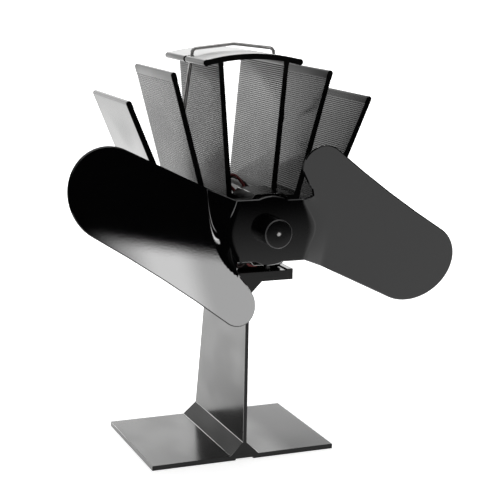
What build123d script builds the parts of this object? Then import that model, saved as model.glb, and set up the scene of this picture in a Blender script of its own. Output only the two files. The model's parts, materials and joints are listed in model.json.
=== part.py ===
from build123d import *
import os
from math import acos, atan2, cos, degrees, hypot, radians, sin, sqrt, tan

# Heat-powered stove fan with two blades, standing on a stove top.
# X runs to the right of someone facing the blades, Y runs to the back and Z runs up.
# The origin is the middle of the fan's outer box, on the surface that it stands on.
# Lengths are millimetres and angles are degrees.

# Stand: a flat foot, a thin upright web and the platform under the generator
foot_width = 100.2
foot_depth = 72.4
foot_thickness = 2.6
foot_gusset = 6.8
foot_channel_width = 9.6
foot_channel_depth = 0.8
web_thickness = 2.0
stand_height = 99.5
platform_width = 49.2
platform_thickness = 5.7
platform_gusset = 6.7
platform_lip_width = 3.4
platform_recess = 0.6

# Thermoelectric generator: two ceramic plates with pellets, a seal and two graphite pads
module_size = 40.0
ceramic_thickness = 0.9
pellet_height = 2.4
pellet_width = 2.6
pellet_count = 8
pellet_field = 33.0
seal_width = 1.4
seal_lap = 0.6
pad_thickness = 0.5
pad_margin = 0.5

# Heat sink: one extrusion with a block, six fins and the curved top plate
sink_depth = 56.5
sink_overhang = 2.0
sink_base_width = 50.0
sink_heel = 2.6
sink_shoulder_height = 14.0
block_height = 33.9
block_step = 3.0
block_fall = 6.0
tip_circle = 102.6
outer_fin_x = 63.2
outer_fin_lean = 23.1
middle_fin_x = 41.1
middle_fin_lean = 15.2
inner_fin_x = 17.35
inner_fin_lean = 4.8
fin_tip_thickness = 2.9
fin_root_thickness = 3.4
fin_plain_tip = 2.9
fin_plain_root = 0.8
rib_pitch = 0.995
rib_depth = 0.32
cap_half_width = 24.56
cap_thickness = 2.8
cap_bead = 1.6
wire_groove_width = 12.0
wire_groove_bottom = 12.0

# Carrying handle: one bent wire in two slots of the top plate
handle_wire = 0.9
handle_back = 25.5
handle_slot_x = 22.4
handle_splay_angle = 7.8
handle_lift = 15.0
handle_leg = 34.0
handle_hook = 5.0
handle_hook_rise = 1.0
handle_shoulder_drop = 2.35
handle_shoulder_bend = 2.6
handle_crown_bend = 14.0
handle_foot_bend = 3.0
handle_belly_bend = 9.0
handle_belly = 1.9
handle_belly_height = 8.0
handle_clearance = 0.3
handle_rest_gap = 2.15

# Blade: one pressed sheet with a flat centre and two pitched lobes
shaft_rise = 21.5
blade_reach = 28.0
hub_radius = 7.1
hub_length = 9.2
hub_edge = 0.9
hub_spigot_radius = 3.6
blade_thickness = 1.0
blade_centre_radius = 17.0
blade_set_back = 2.5
blade_sweep_angle = 6.0
blade_pitch_angle = 18.6
nose_x = 79.0
nose_drop = 21.0
nose_radius = 21.2
corner_x = 21.4
corner_rise = 32.4
corner_radius = 9.9
corner_end_angle = 200
upper_edge_hollow = 1.1
lower_edge_angle = 26.0
neck_bend = 1.6
# Shares of the flat centre's radius: the two bends of each lobe, and the neck above them
inner_bend_shares = ((1.01, 0.87), (1.2, 0.06), (1.06, -0.92))
outer_bend_shares = ((1.13, 1.0), (1.68, 0.2), (1.76, 0))
neck_shares = ((0.88, 1.43), (1.06, 1.2))
collar_radius = 7.0
collar_thickness = 1.5

# Motor housing, sleeve and motor
housing_flats = 35.0
housing_wall = 1.2
housing_length = 22.5
housing_window = 9.0
sleeve_recess = 0.8
motor_recess = 1.4
can_radius = 14.9
can_length = 17.0
can_wall = 0.9
can_edge = 1.0
boss_radius = 3.6
boss_length = 1.1
bush_radius = 2.6
shaft_radius = 1.0
magnet_thickness = 2.6
magnet_length = 11.0
magnet_split = 9.0
core_radius = 10.5
core_length = 8.0
core_arm = 2.6
core_hub_radius = 3.4
pole_thickness = 1.5
pole_slot = 2.4
pole_count = 3
coil_width = 5.4
coil_reach = 4.6
coil_overhang = 1.4
commutator_radius = 2.6
commutator_length = 3.0
washer_radius = 2.2
washer_thickness = 0.5
end_cap_thickness = 2.0
end_cap_boss = 1.2
brush_thickness = 0.4
brush_width = 2.6
brush_foot = 3.4
terminal_x = 3.4
terminal_rise = 6.4
terminal_width = 2.0
terminal_thickness = 0.5
terminal_length = 2.6

# Screws: pan heads, with clearance holes and holes for their threads
screw_radius = 1.5
screw_head_radius = 2.75
screw_head_height = 1.8
screw_slot_radius = 1.25
screw_slot_depth = 0.9
screw_end_gap = 1.0
clamp_x = 12.0
clamp_inset = 4.1
clamp_gap = 3.65
clamp_counterbore = 3.7
clamp_counterbore_gap = 0.4
clamp_thread = 8.0
bush_wall = 0.8
bush_flange = 0.8
spring_washer_height = 0.7
spring_washer_rise = 0.25
housing_screw_x = 10.0
housing_screw_z = 8.0
housing_screw_thread = 6.0

# Leads between the generator and the motor
lead_radius = 0.75
lead_hole_radius = 2.2
lead_hole_inset = 4.0
bend_share = 0.45

# Clearances: press for seats within one body, running for the shaft in its bushes
press_gap = 0.02
running_gap = 0.03
seat_gap = 0.3
overrun = 5.0

# Heights of the stack, from the stove top upwards
floor_z = stand_height - platform_recess
hot_plate_z = floor_z + pad_thickness
pellet_z = hot_plate_z + ceramic_thickness
cold_plate_z = pellet_z + pellet_height
cold_pad_z = cold_plate_z + ceramic_thickness
sink_z = cold_pad_z + pad_thickness
shaft_height = sink_z + shaft_rise
platform_z = stand_height - platform_thickness
crown_radius = tip_circle + cap_thickness / 2
platform_depth = module_size + (clamp_gap + clamp_inset) * 2

os.makedirs("parts", exist_ok=True)


def facing(y, z=0):
    """Upright plane at depth y and height z, seen from the front, so its X and Y run right and up."""
    return Plane(origin=(0, y, z), x_dir=(1, 0, 0), z_dir=(0, -1, 0))


def on_circle(centre, radius, angle):
    """Point of a circle at an angle in degrees."""
    x = centre[0] + radius * cos(radians(angle))
    return (x, centre[1] + radius * sin(radians(angle)))


# Right-hand half of the blade, about the shaft, with its flat centre's front at zero
blade_slope_x = -tan(radians(blade_sweep_angle))
blade_slope_z = -tan(radians(blade_pitch_angle))


def pitched(x, z):
    """Depth of the lobe's front face."""
    return blade_set_back + blade_slope_x * x + blade_slope_z * z


def flat(x, z):
    """Depth of the flat centre's front face."""
    return 0


def section(first, second, depth, thickness):
    """Upright face through the sheet between two places seen from the front."""
    front = [(x, depth(x, z), z) for x, z in (first, second)]
    back = [(x, y + thickness, z) for x, y, z in reversed(front)]
    return make_face(Polyline(*front, *back, close=True, mode=Mode.PRIVATE), mode=Mode.PRIVATE)


def shared(shares):
    """Places given as shares of the flat centre's radius."""
    return [(blade_centre_radius * x, blade_centre_radius * z) for x, z in shares]


nose = (nose_x, -nose_drop)
corner = (corner_x, corner_rise)
between = (nose[0] - corner[0], nose[1] - corner[1])
upper_turn = degrees(acos((corner_radius - nose_radius) / hypot(*between)))
upper_angle = degrees(atan2(between[1], between[0])) + upper_turn
upper_nose = on_circle(nose, nose_radius, upper_angle)
upper_corner = on_circle(corner, corner_radius, upper_angle)
upper_middle = ((upper_nose[0] + upper_corner[0]) / 2, (upper_nose[1] + upper_corner[1]) / 2)
lower_angle = -90 - lower_edge_angle
lower_nose = on_circle(nose, nose_radius, lower_angle)
inner_bend = shared(inner_bend_shares)
outer_bend = shared(outer_bend_shares)
lower_run = lower_nose[0] - outer_bend[2][0]
outer_bend[2] = (outer_bend[2][0], lower_nose[1] + lower_run * tan(radians(lower_edge_angle)))
neck = shared(neck_shares)

reach = nose_x + nose_radius
sheet_half = corner_rise + corner_radius + overrun
pitched_thickness = blade_thickness * sqrt(1 + blade_slope_x**2 + blade_slope_z**2)
sheet_end = section((0, -sheet_half), (0, sheet_half), pitched, pitched_thickness)
along = Vector(1, blade_slope_x, 0)

with BuildPart() as lobe:
    extrude(sheet_end, amount=reach * along.length, dir=along)
    with BuildSketch(facing(-reach)):
        with BuildLine():
            Line(outer_bend[2], lower_nose)
            ThreePointArc(
                lower_nose,
                on_circle(nose, nose_radius, (lower_angle + upper_angle) / 2),
                upper_nose,
            )
            ThreePointArc(
                upper_nose,
                on_circle(upper_middle, upper_edge_hollow, upper_angle + 180),
                upper_corner,
            )
            ThreePointArc(
                upper_corner,
                on_circle(corner, corner_radius, (upper_angle + corner_end_angle) / 2),
                on_circle(corner, corner_radius, corner_end_angle),
            )
            FilletPolyline(
                on_circle(corner, corner_radius, corner_end_angle),
                neck[0],
                neck[1],
                outer_bend[0],
                radius=neck_bend,
            )
            Polyline(*outer_bend)
        make_face()
    extrude(amount=-reach * 2, mode=Mode.INTERSECT)

bend_ends = [
    (
        section(inner_bend[i], inner_bend[i + 1], flat, blade_thickness),
        section(outer_bend[i], outer_bend[i + 1], pitched, pitched_thickness),
    )
    for i in (0, 1)
]

with BuildPart() as half_blade:
    with BuildSketch(facing(0)):
        with BuildLine():
            Line((0, -blade_centre_radius), (0, blade_centre_radius))
            ThreePointArc(
                (0, blade_centre_radius), (blade_centre_radius, 0), (0, -blade_centre_radius)
            )
        make_face()
        with BuildLine():
            Polyline((0, inner_bend[0][1]), *inner_bend, (0, inner_bend[2][1]), close=True)
        make_face()
    extrude(amount=-blade_thickness)
    for ends in bend_ends:
        loft(ends, ruled=True)
    add(lobe.part)

# Depths, from the front of the foot, which sets the middle of the outer box at zero
front_reach = blade_reach + max(hub_length, -half_blade.part.bounding_box().min.Y)
foot_y = (front_reach - foot_depth) / 2
sink_y = foot_y - sink_overhang
blade_y = foot_y - blade_reach
hub_y = blade_y - hub_length
collar_y = blade_y + blade_thickness
housing_y = sink_y - housing_length
sleeve_y = housing_y + sleeve_recess
can_y = housing_y + motor_recess
can_back_y = can_y + can_length
module_y = foot_y + platform_depth / 2
handle_y = foot_y + handle_back
lead_hole_y = foot_y + lead_hole_inset
clamp_front_y = foot_y + clamp_inset
clamp_rear_y = foot_y + platform_depth - clamp_inset


def clamp_places():
    """Centres of the four screws that pull the heat sink down on the platform."""
    return [(side * clamp_x, y) for side in (-1, 1) for y in (clamp_front_y, clamp_rear_y)]


def housing_screw_places():
    """Centres of the four housing screws, about the shaft."""
    return [(x * housing_screw_x, z * housing_screw_z) for x in (-1, 1) for z in (-1, 1)]


# Stand
with BuildPart() as stand:
    with BuildSketch(facing(foot_y)):
        with BuildLine():
            Polyline(
                (0, foot_channel_depth),
                (foot_channel_width / 2, foot_channel_depth),
                (foot_channel_width / 2, 0),
                (foot_width / 2, 0),
                (foot_width / 2, foot_thickness),
                (web_thickness / 2 + foot_gusset, foot_thickness),
                (web_thickness / 2, foot_thickness + foot_gusset),
                (web_thickness / 2, platform_z - platform_gusset),
                (web_thickness / 2 + platform_gusset, platform_z),
                (platform_width / 2, platform_z),
                (platform_width / 2, stand_height),
                (platform_width / 2 - platform_lip_width, stand_height),
                (platform_width / 2 - platform_lip_width, floor_z),
                (0, floor_z),
                close=True,
            )
        make_face()
        mirror(about=Plane.YZ)
    extrude(amount=-foot_depth)
    # The back slants forwards from the foot up to the platform
    with BuildSketch(Plane.YZ.offset(-foot_width / 2)):
        with BuildLine():
            Polyline(
                (foot_y + foot_depth, foot_thickness),
                (foot_y + platform_depth, platform_z),
                (foot_y + platform_depth, stand_height + overrun),
                (foot_y + foot_depth + overrun, stand_height + overrun),
                (foot_y + foot_depth + overrun, foot_thickness),
                close=True,
            )
        make_face()
    extrude(amount=foot_width, mode=Mode.SUBTRACT)
    with BuildSketch(Plane.XY.offset(platform_z)):
        with Locations(*clamp_places()):
            Circle(screw_radius + bush_wall + press_gap)
    extrude(amount=platform_thickness, mode=Mode.SUBTRACT)
    with BuildSketch(Plane.XY.offset(platform_z)):
        with Locations(*clamp_places()):
            Circle(screw_head_radius + clamp_counterbore_gap)
    extrude(amount=clamp_counterbore, mode=Mode.SUBTRACT)
stand.part.label = "stand"
export_step(stand.part, "parts/stand.step")


# Thermoelectric generator between the platform and the heat sink
def plate(size, bottom, thickness):
    """Square plate centred over the platform."""
    with BuildPart() as made:
        with BuildSketch(Plane.XY.offset(bottom)):
            with Locations((0, module_y)):
                Rectangle(size, size)
        extrude(amount=thickness)
    return made


hot_pad = plate(module_size - pad_margin, floor_z, pad_thickness)
hot_pad.part.label = "hot_side_pad"
export_step(hot_pad.part, "parts/hot_side_pad.step")

hot_plate = plate(module_size, hot_plate_z, ceramic_thickness)
hot_plate.part.label = "generator_hot_plate"
export_step(hot_plate.part, "parts/generator_hot_plate.step")

cold_plate = plate(module_size, cold_plate_z, ceramic_thickness)
cold_plate.part.label = "generator_cold_plate"
export_step(cold_plate.part, "parts/generator_cold_plate.step")

cold_pad = plate(module_size - pad_margin, cold_pad_z, pad_thickness)
cold_pad.part.label = "cold_side_pad"
export_step(cold_pad.part, "parts/cold_side_pad.step")

with BuildPart() as pellets:
    pellet_pitch = pellet_field / pellet_count
    with BuildSketch(Plane.XY.offset(pellet_z)):
        with Locations((0, module_y)):
            with GridLocations(pellet_pitch, pellet_pitch, pellet_count, pellet_count):
                Rectangle(pellet_width, pellet_width)
    extrude(amount=pellet_height)
pellets.part.label = "generator_pellets"
export_step(pellets.part, "parts/generator_pellets.step")

# The seal fills the gap between the plates and laps over their edges
seal_size = module_size + seal_lap * 2
plate_seat = module_size + press_gap * 2
with BuildPart() as seal:
    add(plate(seal_size, hot_plate_z, cold_pad_z - hot_plate_z))
    add(plate(module_size - seal_width * 2, hot_plate_z, cold_pad_z - hot_plate_z), mode=Mode.SUBTRACT)
    for bottom in (hot_plate_z, cold_plate_z):
        add(plate(plate_seat, bottom, ceramic_thickness), mode=Mode.SUBTRACT)
seal.part.label = "generator_seal"
export_step(seal.part, "parts/generator_seal.step")


# Heat sink
def fin_face(tip_x, lean, length, side, ribbed):
    """Points down one face of a right-hand fin, from its tip to its root."""
    tip = (tip_x, sqrt(tip_circle**2 - tip_x**2))
    down = (-sin(radians(lean)), -cos(radians(lean)))
    out = (side * cos(radians(lean)), -side * sin(radians(lean)))

    def at(run, inset):
        half = fin_tip_thickness + (fin_root_thickness - fin_tip_thickness) * run / length
        offset = half / 2 - inset
        return (tip[0] + down[0] * run + out[0] * offset, tip[1] + down[1] * run + out[1] * offset)

    points = [at(0, 0)]
    if ribbed:
        run = fin_plain_tip
        points.append(at(run, 0))
        while run + rib_pitch < ribbed:
            points.append(at(run + rib_pitch / 2, rib_depth))
            run += rib_pitch
            points.append(at(run, 0))
    points.append(at(length, 0))
    return points


def fin_x(tip_x, lean, height):
    """How far out a fin's middle stands at a height above the heat sink's bottom."""
    return tip_x - (sqrt(tip_circle**2 - tip_x**2) - height) * tan(radians(lean))


def fin_run(tip_x, lean, height):
    """Length down a fin from the middle of its tip to a height."""
    return (sqrt(tip_circle**2 - tip_x**2) - height) / cos(radians(lean))


def fin_top(tip_x, lean):
    """Highest point of a fin's round tip."""
    reach = fin_tip_thickness / 2
    tip_z = sqrt(tip_circle**2 - tip_x**2)
    return (tip_x + reach * sin(radians(lean)), tip_z + reach * cos(radians(lean)))


fin_foot = block_height - block_step - block_fall
outer_root = block_height - block_fall
middle_root = block_height - block_step

fins = (
    (outer_fin_x, outer_fin_lean, sink_shoulder_height, outer_root, False, True),
    (middle_fin_x, middle_fin_lean, fin_foot, block_height, True, True),
    (inner_fin_x, inner_fin_lean, fin_foot, block_height, True, True),
)

with BuildPart() as heat_sink:
    with BuildSketch(facing(sink_y, sink_z)):
        shoulder_x = fin_x(outer_fin_x, outer_fin_lean, sink_shoulder_height)
        with BuildLine():
            Polyline(
                (0, 0),
                (sink_base_width / 2, 0),
                (sink_base_width / 2, sink_heel),
                (shoulder_x + fin_root_thickness / 2, sink_shoulder_height),
                (fin_x(outer_fin_x, outer_fin_lean, outer_root), outer_root),
                (fin_x(middle_fin_x, middle_fin_lean, middle_root), middle_root),
                (fin_x(middle_fin_x, middle_fin_lean, block_height), block_height),
                (0, block_height),
                close=True,
            )
        make_face()
        for tip_x, lean, foot, root, ribbed_out, ribbed_in in fins:
            length = fin_run(tip_x, lean, foot)
            ribbed_run = fin_run(tip_x, lean, root) - fin_plain_root
            outside = fin_face(tip_x, lean, length, 1, ribbed_run if ribbed_out else 0)
            inside = fin_face(tip_x, lean, length, -1, ribbed_run if ribbed_in else 0)
            with BuildLine():
                Polyline(*outside)
                Line(outside[-1], inside[-1])
                Polyline(*inside)
                if tip_x > cap_half_width:
                    ThreePointArc(outside[0], fin_top(tip_x, lean), inside[0])
                else:
                    Line(outside[0], inside[0])
            make_face()
        mirror(about=Plane.YZ)
        with Locations((0, (block_height + wire_groove_bottom + wire_groove_width / 2) / 2)):
            groove = block_height - wire_groove_bottom - wire_groove_width / 2
            Rectangle(wire_groove_width, groove, mode=Mode.SUBTRACT)
        with Locations((0, wire_groove_bottom + wire_groove_width / 2)):
            Circle(wire_groove_width / 2, mode=Mode.SUBTRACT)
    extrude(amount=-sink_depth)
    # Curved plate over the two inner fins, with a bead along each end
    with BuildSketch(facing(sink_y, sink_z)):
        cap_end = (cap_half_width, sqrt(tip_circle**2 - cap_half_width**2))
        cap_angle = degrees(atan2(cap_end[1], cap_end[0]))
        inner_radius = tip_circle - cap_thickness / 2
        outer_left = on_circle((0, 0), crown_radius, 180 - cap_angle)
        outer_right = on_circle((0, 0), crown_radius, cap_angle)
        inner_left = on_circle((0, 0), inner_radius, 180 - cap_angle)
        inner_right = on_circle((0, 0), inner_radius, cap_angle)
        with BuildLine():
            ThreePointArc(outer_left, (0, crown_radius), outer_right)
            Line(outer_right, inner_right)
            ThreePointArc(inner_right, (0, inner_radius), inner_left)
            Line(inner_left, outer_left)
        make_face()
        with Locations(cap_end, (-cap_end[0], cap_end[1])):
            Circle(cap_bead)
    extrude(amount=-sink_depth)
    # Slots for the handle, open at the plate's ends so that its spread legs can slide up
    slot_width = (handle_wire + handle_clearance) * 2
    slot_near = handle_slot_x - slot_width / 2
    slot_far = cap_half_width + cap_bead + slot_width
    slot_x = (slot_near + slot_far) / 2
    with BuildSketch(Plane.XY.offset(sink_z + crown_radius)):
        with Locations((slot_x, handle_y), (-slot_x, handle_y)):
            SlotOverall(slot_far - slot_near, slot_width)
    extrude(amount=-cap_half_width / 2, mode=Mode.SUBTRACT)
    # Hole for the leads, from the generator up into the groove
    with BuildSketch(Plane.XY.offset(sink_z)):
        with Locations((0, lead_hole_y)):
            Circle(lead_hole_radius)
    extrude(amount=wire_groove_bottom + wire_groove_width / 2, mode=Mode.SUBTRACT)
    with BuildSketch(Plane.XY.offset(sink_z)):
        with Locations(*clamp_places()):
            Circle(screw_radius + press_gap)
    extrude(amount=clamp_thread, mode=Mode.SUBTRACT)
    with BuildSketch(facing(sink_y, shaft_height)):
        with Locations(*housing_screw_places()):
            Circle(screw_radius + press_gap)
    extrude(amount=-housing_screw_thread, mode=Mode.SUBTRACT)
heat_sink.part.label = "heat_sink"
export_step(heat_sink.part, "parts/heat_sink.step")


# Carrying handle, at rest on the crown of the top plate
slot_z = sink_z + sqrt(tip_circle**2 - handle_slot_x**2)
crown_z = sink_z + crown_radius + handle_rest_gap + handle_wire
shoulder_z = crown_z - handle_shoulder_drop
handle_splay = tan(radians(handle_splay_angle))
shoulder_x = handle_slot_x - handle_splay * (shoulder_z - slot_z)
leg_z = slot_z - handle_leg
leg_x = handle_slot_x + handle_splay * handle_leg
belly_z = leg_z + handle_belly_height
belly_x = handle_slot_x + handle_splay * (slot_z - belly_z) + handle_belly

with BuildPart() as handle:
    with BuildLine():
        wire = FilletPolyline(
            (-leg_x, handle_y + handle_hook, leg_z + handle_hook_rise),
            (-leg_x, handle_y, leg_z),
            (-shoulder_x, handle_y, shoulder_z),
            (0, handle_y, crown_z),
            (shoulder_x, handle_y, shoulder_z),
            (handle_slot_x + handle_splay * handle_lift, handle_y, slot_z - handle_lift),
            (belly_x, handle_y, belly_z),
            (leg_x + handle_belly / 2, handle_y, leg_z),
            (leg_x + handle_belly / 2, handle_y + handle_hook, leg_z + handle_hook_rise),
            radius=[
                handle_foot_bend,
                handle_shoulder_bend,
                handle_crown_bend,
                handle_shoulder_bend,
                handle_belly_bend,
                handle_belly_bend,
                handle_foot_bend,
            ],
        )
    with BuildSketch(Plane(origin=wire @ 0, z_dir=wire % 0)):
        Circle(handle_wire)
    sweep()
handle.part.label = "carry_handle"
export_step(handle.part, "parts/carry_handle.step")

# Blade: the right-hand half and its copy, half a turn round the shaft
with BuildPart() as fan_blade:
    with Locations((0, blade_y, shaft_height)):
        add(half_blade.part)
        add(half_blade.part, rotation=(0, 180, 0))
    with BuildSketch(facing(blade_y, shaft_height)):
        Circle(hub_spigot_radius + press_gap)
    extrude(amount=-blade_thickness, mode=Mode.SUBTRACT)
fan_blade.part.label = "fan_blade"
export_step(fan_blade.part, "parts/fan_blade.step")

with BuildPart() as hub:
    with BuildSketch(facing(hub_y, shaft_height)):
        Circle(hub_radius)
    extrude(amount=-hub_length)
    fillet(hub.edges().sort_by(Axis.Y)[0], radius=hub_edge)
    with BuildSketch(facing(blade_y, shaft_height)):
        Circle(hub_spigot_radius)
    extrude(amount=-(blade_thickness + collar_thickness))
    with BuildSketch(facing(hub_y, shaft_height)):
        Circle(shaft_radius + press_gap)
    extrude(amount=-(hub_length + blade_thickness + collar_thickness), mode=Mode.SUBTRACT)
hub.part.label = "fan_hub"
export_step(hub.part, "parts/fan_hub.step")

with BuildPart() as collar:
    with BuildSketch(facing(collar_y, shaft_height)):
        Circle(collar_radius)
        Circle(hub_spigot_radius + press_gap, mode=Mode.SUBTRACT)
    extrude(amount=-collar_thickness)
collar.part.label = "blade_collar"
export_step(collar.part, "parts/blade_collar.step")


# Motor housing and rubber sleeve
def octagon(flats):
    """Eight-sided outline that stands on a flat, by its width across flats."""
    RegularPolygon(radius=flats / 2, side_count=8, major_radius=False, rotation=22.5)


with BuildPart() as housing:
    with BuildSketch(facing(housing_y, shaft_height)):
        octagon(housing_flats)
    extrude(amount=-housing_length)
    with BuildSketch(facing(housing_y, shaft_height)):
        octagon(housing_flats - housing_wall * 2)
    extrude(amount=-(housing_length - housing_wall), mode=Mode.SUBTRACT)
    with BuildSketch(facing(housing_y, shaft_height)):
        Circle(housing_window)
        with Locations(*housing_screw_places()):
            Circle(screw_radius + running_gap)
    extrude(amount=-housing_length, mode=Mode.SUBTRACT)
housing.part.label = "motor_housing"
export_step(housing.part, "parts/motor_housing.step")

with BuildPart() as sleeve:
    with BuildSketch(facing(sleeve_y, shaft_height)):
        octagon(housing_flats - (housing_wall + press_gap) * 2)
        Circle(can_radius + press_gap, mode=Mode.SUBTRACT)
    extrude(amount=-(can_back_y - sleeve_y))
sleeve.part.label = "motor_sleeve"
export_step(sleeve.part, "parts/motor_sleeve.step")

# Motor, from front to back
end_cap_y = can_back_y - end_cap_thickness
core_y = can_y + can_wall + (can_length - can_wall - end_cap_thickness - core_length) / 3
inside_radius = can_radius - can_wall
magnet_inner = inside_radius - press_gap - magnet_thickness
brush_x = commutator_radius + running_gap

with BuildPart() as can:
    with BuildSketch(facing(can_y, shaft_height)):
        Circle(can_radius)
    extrude(amount=-can_length)
    fillet(can.edges().sort_by(Axis.Y)[0], radius=can_edge)
    with BuildSketch(facing(can_y - boss_length, shaft_height)):
        Circle(boss_radius)
    extrude(amount=-boss_length)
    with BuildSketch(facing(can_y + can_wall, shaft_height)):
        Circle(inside_radius)
    extrude(amount=-(can_length - can_wall), mode=Mode.SUBTRACT)
    with BuildSketch(facing(can_y - boss_length, shaft_height)):
        Circle(bush_radius + press_gap)
    extrude(amount=-(boss_length + can_wall), mode=Mode.SUBTRACT)
can.part.label = "motor_can"
export_step(can.part, "parts/motor_can.step")


def shaft_ring(y, length, radius, bore):
    """Ring round the shaft, from depth y backwards."""
    with BuildPart() as made:
        with BuildSketch(facing(y, shaft_height)):
            Circle(radius)
            Circle(bore, mode=Mode.SUBTRACT)
        extrude(amount=-length)
    return made


bore = shaft_radius + running_gap
front_bush = shaft_ring(can_y - boss_length, boss_length + can_wall, bush_radius, bore)
front_bush.part.label = "front_bush"
export_step(front_bush.part, "parts/front_bush.step")

rear_bush_length = end_cap_thickness + end_cap_boss
rear_bush = shaft_ring(end_cap_y, rear_bush_length, bush_radius, bore)
rear_bush.part.label = "rear_bush"
export_step(rear_bush.part, "parts/rear_bush.step")

with BuildPart() as shaft:
    with BuildSketch(facing(hub_y, shaft_height)):
        Circle(shaft_radius)
    extrude(amount=-(can_back_y + end_cap_boss - hub_y))
shaft.part.label = "motor_shaft"
export_step(shaft.part, "parts/motor_shaft.step")

with BuildPart() as magnets:
    with BuildSketch(facing(core_y - (magnet_length - core_length) / 2, shaft_height)):
        Circle(inside_radius - press_gap)
        Circle(magnet_inner, mode=Mode.SUBTRACT)
        Rectangle(inside_radius * 2, magnet_split, mode=Mode.SUBTRACT)
    extrude(amount=-magnet_length)
magnets.part.label = "motor_magnets"
export_step(magnets.part, "parts/motor_magnets.step")

with BuildPart() as core:
    with BuildSketch(facing(core_y, shaft_height)):
        Circle(core_radius)
        Circle(core_radius - pole_thickness, mode=Mode.SUBTRACT)
        with PolarLocations(core_radius, pole_count, start_angle=30):
            Rectangle(pole_thickness * 4, pole_slot, mode=Mode.SUBTRACT)
        Circle(core_hub_radius)
        with PolarLocations(core_radius / 2, pole_count, start_angle=90):
            Rectangle(core_radius - pole_thickness / 2, core_arm)
        Circle(shaft_radius + press_gap, mode=Mode.SUBTRACT)
    extrude(amount=-core_length)
core.part.label = "rotor_core"
export_step(core.part, "parts/rotor_core.step")

coil_middle = (core_hub_radius + core_radius - pole_thickness) / 2
with BuildPart() as windings:
    with BuildSketch(facing(core_y - coil_overhang, shaft_height)):
        with PolarLocations(coil_middle, pole_count, start_angle=90):
            Rectangle(coil_reach, coil_width)
    extrude(amount=-(core_length + coil_overhang * 2))
    with BuildSketch(facing(core_y - press_gap, shaft_height)):
        with PolarLocations(coil_middle, pole_count, start_angle=90):
            Rectangle(coil_reach * 2, core_arm + press_gap * 2)
    extrude(amount=-(core_length + press_gap * 2), mode=Mode.SUBTRACT)
windings.part.label = "rotor_windings"
export_step(windings.part, "parts/rotor_windings.step")

commutator_y = end_cap_y - seat_gap - washer_thickness - commutator_length
commutator_bore = shaft_radius + press_gap
commutator = shaft_ring(commutator_y, commutator_length, commutator_radius, commutator_bore)
commutator.part.label = "commutator"
export_step(commutator.part, "parts/commutator.step")

with BuildPart() as washers:
    for y in (can_y + can_wall + seat_gap, end_cap_y - seat_gap - washer_thickness):
        with BuildSketch(facing(y, shaft_height)):
            Circle(washer_radius)
            Circle(shaft_radius + press_gap, mode=Mode.SUBTRACT)
        extrude(amount=-washer_thickness)
washers.part.label = "thrust_washers"
export_step(washers.part, "parts/thrust_washers.step")

with BuildPart() as end_cap:
    with BuildSketch(facing(end_cap_y, shaft_height)):
        Circle(inside_radius - press_gap)
    extrude(amount=-end_cap_thickness)
    with BuildSketch(facing(can_back_y, shaft_height)):
        Circle(boss_radius)
    extrude(amount=-end_cap_boss)
    with BuildSketch(facing(end_cap_y, shaft_height)):
        Circle(bush_radius + press_gap)
        with Locations((-terminal_x, terminal_rise), (terminal_x, terminal_rise)):
            Rectangle(terminal_width + press_gap * 2, terminal_thickness + press_gap * 2)
    extrude(amount=-(end_cap_thickness + end_cap_boss), mode=Mode.SUBTRACT)
end_cap.part.label = "motor_end_cap"
export_step(end_cap.part, "parts/motor_end_cap.step")

with BuildPart() as brushes:
    for side in (-1, 1):
        with BuildSketch(facing(commutator_y, shaft_height)):
            with Locations((side * (brush_x + brush_thickness / 2), 0)):
                Rectangle(brush_thickness, brush_width)
        extrude(amount=-(end_cap_y - commutator_y))
        with BuildSketch(facing(end_cap_y - brush_thickness, shaft_height)):
            with Locations((side * (brush_x + brush_foot / 2), 0)):
                Rectangle(brush_foot, brush_width)
        extrude(amount=-brush_thickness)
brushes.part.label = "motor_brushes"
export_step(brushes.part, "parts/motor_brushes.step")

with BuildPart() as terminals:
    with BuildSketch(facing(end_cap_y, shaft_height)):
        with Locations((-terminal_x, terminal_rise), (terminal_x, terminal_rise)):
            Rectangle(terminal_width, terminal_thickness)
    extrude(amount=-(end_cap_thickness + terminal_length))
terminals.part.label = "motor_terminals"
export_step(terminals.part, "parts/motor_terminals.step")


# Fasteners
def pan_screw(place, length):
    """Screw that points along the place's normal, with its head's underside on the place."""
    with BuildPart() as made:
        with BuildSketch(place.offset(-screw_head_height)):
            Circle(screw_head_radius)
        extrude(amount=screw_head_height)
        with BuildSketch(place.offset(-screw_head_height)):
            RegularPolygon(radius=screw_slot_radius, side_count=6)
        extrude(amount=screw_slot_depth, mode=Mode.SUBTRACT)
        with BuildSketch(place):
            Circle(screw_radius)
        extrude(amount=length)
    return made.part


# The clamp screws' heads sit in counterbores in the platform's underside
clamp_seat_z = platform_z + clamp_counterbore
washer_z = clamp_seat_z - bush_flange - spring_washer_height - spring_washer_rise
clamp_run = sink_z + clamp_thread - screw_end_gap - washer_z
clamps = [pan_screw(Plane(origin=(x, y, washer_z)), clamp_run) for x, y in clamp_places()]

with BuildPart() as clamp_screws:
    add(clamps)
clamp_screws.part.label = "clamp_screws"
export_step(clamp_screws.part, "parts/clamp_screws.step")

with BuildPart() as clamp_bushes:
    with BuildSketch(Plane.XY.offset(clamp_seat_z - bush_flange)):
        with Locations(*clamp_places()):
            Circle(screw_head_radius)
    extrude(amount=bush_flange)
    with BuildSketch(Plane.XY.offset(clamp_seat_z)):
        with Locations(*clamp_places()):
            Circle(screw_radius + bush_wall)
    extrude(amount=floor_z - clamp_seat_z)
    with BuildSketch(Plane.XY.offset(clamp_seat_z - bush_flange)):
        with Locations(*clamp_places()):
            Circle(screw_radius + running_gap)
    extrude(amount=platform_thickness + bush_flange, mode=Mode.SUBTRACT)
clamp_bushes.part.label = "clamp_bushes"
export_step(clamp_bushes.part, "parts/clamp_bushes.step")

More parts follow.
